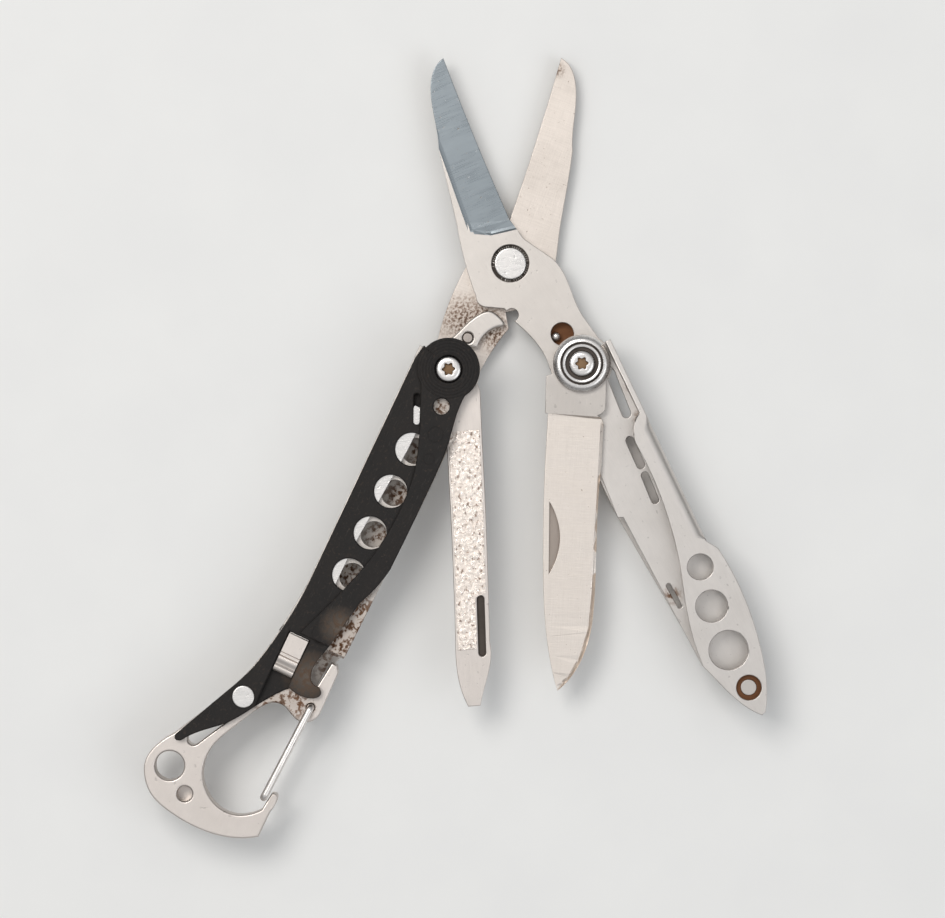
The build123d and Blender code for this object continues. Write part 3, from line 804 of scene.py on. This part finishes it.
def moulded_rings(name, tree, centre, inner, spacing, ridge, count):
    piece = bpy.data.objects.new(name, bpy.data.meshes.new(name))
    bpy.context.scene.collection.objects.link(piece)
    modifier = piece.modifiers.new("rings", "NODES")
    modifier.node_group = tree
    values = {
        "Centre": centre, "Inner Radius": inner * MM, "Spacing": spacing * MM,
        "Ridge Radius": ridge * MM, "Ridge Count": count,
    }
    for item in tree.interface.items_tree:
        if item.in_out == "INPUT":
            modifier[item.identifier] = values[item.name]
    piece.update_tag()
    settle(piece)
    piece.data.shade_smooth()
    return stand_for(piece, "left_handle", "black_nylon")


rings = ring_tree("moulded_ring_tree", nylon)
cover_top = top_of("handle_scale")
moulded_rings("cover_hub_ridges", rings, LEFT.at(0, 0, cover_top - 0.04 * MM), 2.25, 0.42, 0.10, 5)
cover_marks = [(8.8, -2.2, 1.04), (12.2, -2.8, 0.73), (39.8, 0.1, 1.44), (37.0, -1.3, 1.1)]
for number, (s, w, radius) in enumerate(cover_marks):
    moulded_rings(f"cover_mark_{number}", rings, LEFT.at(s, w, cover_top - 0.03 * MM), radius, 0.1, 0.07, 1)

# ------------------------------------------------------------------ knife
knife_low, knife_high = bottom_of("knife_blade"), top_of("knife_blade")
knife = merged_copy("knife_blade", "knife")
GRIND_START = 7.1
EDGE_LINE = [
    (8.4, 3.15), (14.0, 3.25), (25.2, 3.35), (32.5, 3.5),
    (36.5, 3.3), (39.9, 2.45), (42.6, 1.2), (44.9, -0.9),
]


def line_w(points, s):
    """Sideways place of a broken line at s, by straight runs between its points."""
    for (s0, w0), (s1, w1) in zip(points, points[1:]):
        if s0 <= s <= s1:
            return w0 + (w1 - w0) * (s - s0) / (s1 - s0)
    return points[0][1] if s < points[0][0] else points[-1][1]


def knife_height(spot):
    s, w = KNIFE.find(spot)
    if s < GRIND_START + 0.15:
        return spot.z
    sink = (0.05 + 0.045 * (w + 4.0)) * MM
    past = w - line_w(EDGE_LINE, s)
    if past > 0.02 and s > 8.3:
        sink += min(past * 0.55, 0.28) * MM
    centre = (knife_low + knife_high) / 2
    sink = min(sink, (knife_high - knife_low) / 2 - 0.03 * MM)
    return spot.z - sink if spot.z > centre else spot.z + sink


def in_nail_nick(spot, normal):
    s, w = KNIFE.find(spot)
    return 19.0 < s < 29.2 and -3.6 < w < 0 and knife_low + 0.4 * MM < spot.z < knife_high - 0.3 * MM


knife_cuts = [
    (KNIFE.at(GRIND_START, -9), KNIFE.at(GRIND_START, 9)),
    (KNIFE.at(GRIND_START + 0.3, -9), KNIFE.at(GRIND_START + 0.3, 9)),
]
knife_cuts += [(KNIFE.at(*a), KNIFE.at(*b)) for a, b in zip(EDGE_LINE, EDGE_LINE[1:])]
reshape(knife, knife_cuts, knife_height)
dress(knife, knife_steel, ricasso_steel, nick_painted_shade)
paint_where(knife, 1, lambda spot, normal: KNIFE.find(spot)[0] < GRIND_START + 0.02)
# The nail nick is painted darker: painted shade in the recess.
paint_where(knife, 2, in_nail_nick)
ease_edges(knife, 0.07)
stand_for(knife, "knife", "knife_steel", "knife_blade")

# ------------------------------------------------------------------ nail file
file_top = top_of("nail_file")
file_low = bottom_of("nail_file")
nail_file = dress(merged_copy("nail_file", "nail_file_blank"), file_steel, groove_steel)


def in_file_slot(spot, normal):
    s, w = FILE.find(spot)
    return 31.0 < s < 39.6 and 1.1 < w < 2.7 and file_low + 0.2 * MM < spot.z < file_top - 0.1 * MM


paint_where(nail_file, 1, in_file_slot)
ease_edges(nail_file, 0.14)
stand_for(nail_file, "nail_file", "file_steel", "nail_file")
CUT_START, CUT_END = 8.4, 38.6
FILE_LEFT = [(3.0, -1.0), (20.7, -1.2), (37.1, -1.8), (40.6, -1.9)]
FILE_RIGHT = [(9.5, 3.9), (21.0, 3.6), (37.5, 2.9), (41.4, 2.5)]
TOOTH_LIMIT = 0.08            # teeth stay inside the gap to the handle walls
SLOT_EDGE = [(30.7, 3.2), (31.3, 1.42), (39.2, 1.14)]


def tooth_height(s, w):
    """Rough chipped bumps, about half a millimetre across."""
    place = Vector((s * 1.9, w * 1.9, 0.0))
    nearest = noise.voronoi(place)[0][0]
    coarse = max(0.0, 1.0 - nearest * 1.35) ** 0.8
    return min(0.006 + 0.062 * coarse + 0.018 * noise.noise(place * 3.1), TOOTH_LIMIT)


def file_cut():
    """The coarse cut as a slab of chipped bumps, its sides and base sunk in the blade."""
    work = bmesh.new()
    pitch = 0.14
    columns = int((CUT_END - CUT_START) / pitch)
    rows = 36
    grid = []
    for i in range(columns + 1):
        s = CUT_START + i * pitch
        left = line_w(FILE_LEFT, s) + 0.22
        right = line_w(FILE_RIGHT, s) - 0.22
        if s > SLOT_EDGE[0][0]:
            right = min(right, line_w(SLOT_EDGE, s))
        line = []
        for j in range(rows + 1):
            w = left + (right - left) * j / rows
            rim = i in (0, columns) or j in (0, rows)
            ragged = 0.25 * noise.noise(Vector((w * 2.0, s, 3.0)))
            high = tooth_height(s + ragged, w)
            lift = -0.08 if rim else high
            line.append(work.verts.new(FILE.at(s, w, file_top + lift * MM)))
        grid.append(line)
    for i in range(columns):
        for j in range(rows):
            work.faces.new((grid[i][j], grid[i + 1][j], grid[i + 1][j + 1], grid[i][j + 1]))
    border = [edge for edge in work.edges if len(edge.link_faces) == 1]
    skirt = bmesh.ops.extrude_edge_only(work, edges=border)["geom"]
    for element in skirt:
        if isinstance(element, bmesh.types.BMVert):
            element.co.z = file_top - 0.3 * MM
    bmesh.ops.holes_fill(work, edges=[edge for edge in work.edges if len(edge.link_faces) == 1])
    bmesh.ops.recalc_face_normals(work, faces=work.faces)
    mesh = bpy.data.meshes.new("file_cut")
    work.to_mesh(mesh)
    work.free()
    mesh.shade_smooth()
    piece = bpy.data.objects.new("file_cut", mesh)
    bpy.context.scene.collection.objects.link(piece)
    return piece


stand_for(dress(file_cut(), file_teeth_steel), "nail_file", "file_steel")

# ------------------------------------------------------------------ carried-over pieces
CARRIED = {"detent_ball": bright_steel, "detent_leaf": rusty_steel}
for node in frame["nodes"]:
    shown = frame["nodes"][node]
    if not shown.data.materials:
        shown.data.materials.append(inner_steel)
    for index in range(len(shown.data.materials)):
        shown.data.materials[index] = CARRIED.get(node, inner_steel)

# ------------------------------------------------------------------ room, light and camera
floor_mesh = bpy.data.meshes.new("floor")
FLOOR_HALF = 1.5
floor_corners = [(x * FLOOR_HALF, y * FLOOR_HALF, 0) for x, y in ((-1, -1), (1, -1), (1, 1), (-1, 1))]
floor_mesh.from_pydata(floor_corners, [], [(0, 1, 2, 3)])
floor = bpy.data.objects.new("floor", floor_mesh)
bpy.context.scene.collection.objects.link(floor)
floor.location.z = -0.0001
paper = Finish("pale_paper", (0.80, 0.80, 0.79), 0.9, metallic=0.0)
paper.tint(paper.field(60, 60, 3.0), (0.77, 0.77, 0.765), 0.6)
dress(floor, paper.done())

world = bpy.data.worlds.new("studio")
world.use_nodes = True
sky = world.node_tree.nodes["Background"]
sky.inputs["Color"].default_value = (0.95, 0.96, 0.97, 1.0)
direction = world.node_tree.nodes.new("ShaderNodeTexCoord")
parts = world.node_tree.nodes.new("ShaderNodeSeparateXYZ")
rise = world.node_tree.nodes.new("ShaderNodeMapRange")
rise.inputs["From Min"].default_value = 0.15
rise.inputs["From Max"].default_value = 0.95
rise.inputs["To Min"].default_value = 0.22
rise.inputs["To Max"].default_value = 0.78
world.node_tree.links.new(direction.outputs["Generated"], parts.inputs[0])
world.node_tree.links.new(parts.outputs["Z"], rise.inputs["Value"])
world.node_tree.links.new(rise.outputs["Result"], sky.inputs["Strength"])
bpy.context.scene.world = world


def softbox(name, place, size, power, aim, colour=(1.0, 0.97, 0.93)):
    data = bpy.data.lights.new(name, "AREA")
    data.shape = "RECTANGLE"
    data.size, data.size_y = size
    data.energy = power
    data.color = colour
    lamp = bpy.data.objects.new(name, data)
    bpy.context.scene.collection.objects.link(lamp)
    lamp.location = place
    lamp.rotation_euler = (Vector(aim) - Vector(place)).to_track_quat("-Z", "Y").to_euler()


VIEW_OFFSET = (-6.4, -26.6, 0.0)     # millimetres from the scissor pivot to the middle of the view
middle_place = scissor_pivot + Vector(VIEW_OFFSET) * MM
softbox("key", (-0.22, 0.26, 0.62), (0.40, 0.30), 2.2, middle_place)
softbox("fill", (0.45, -0.25, 0.50), (0.5, 0.4), 0.8, middle_place, (0.94, 0.97, 1.0))

camera_data = bpy.data.cameras.new("camera")
camera_data.lens = 165.4
camera_data.sensor_width = 36.0
camera_data.clip_start = 0.01
camera = bpy.data.objects.new("camera", camera_data)
bpy.context.scene.collection.objects.link(camera)
CAMERA_HEIGHT = 0.600
CAMERA_TURN = -2.6
camera.location = (middle_place.x, middle_place.y, CAMERA_HEIGHT)
camera.rotation_euler = (0.0, 0.0, math.radians(CAMERA_TURN))
bpy.context.scene.camera = camera
bpy.context.scene.view_settings.view_transform = "Standard"
